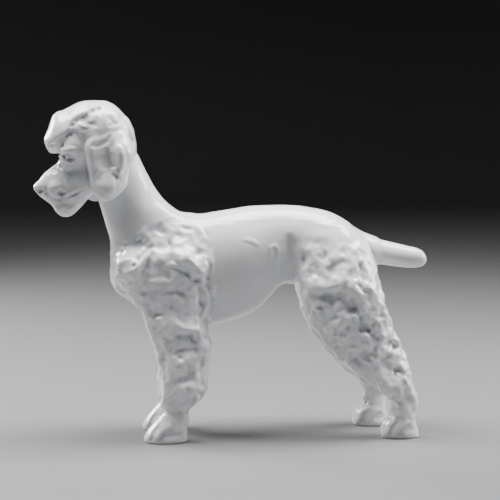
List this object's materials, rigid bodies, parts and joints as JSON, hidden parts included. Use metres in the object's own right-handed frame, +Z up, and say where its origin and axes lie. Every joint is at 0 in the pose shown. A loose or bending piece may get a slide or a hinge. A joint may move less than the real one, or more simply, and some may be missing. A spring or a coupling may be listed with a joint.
{
  "type": "dog figurine",
  "caption": "White glazed porcelain figurine of a standing poodle with a clipped saddle and tail, for display on a shelf or table.",
  "frame": {"origin": "on the ground, under the middle of the figure's length and width", "axes": "+Z up, the dog faces -X, its left side is at -Y"},
  "size_m": [0.2294, 0.063, 0.196],
  "materials": {
    "glazed_porcelain": "clear gloss glaze over white porcelain, bare at the soles of the paws"
  },
  "bodies": {
    "root": {"torso": "glazed_porcelain", "neck_and_head": "glazed_porcelain", "left_ear": "glazed_porcelain", "right_ear": "glazed_porcelain", "front_left_leg": "glazed_porcelain", "front_right_leg": "glazed_porcelain", "rear_left_leg": "glazed_porcelain", "rear_right_leg": "glazed_porcelain", "tail": "glazed_porcelain"}
  },
  "joints": []
}
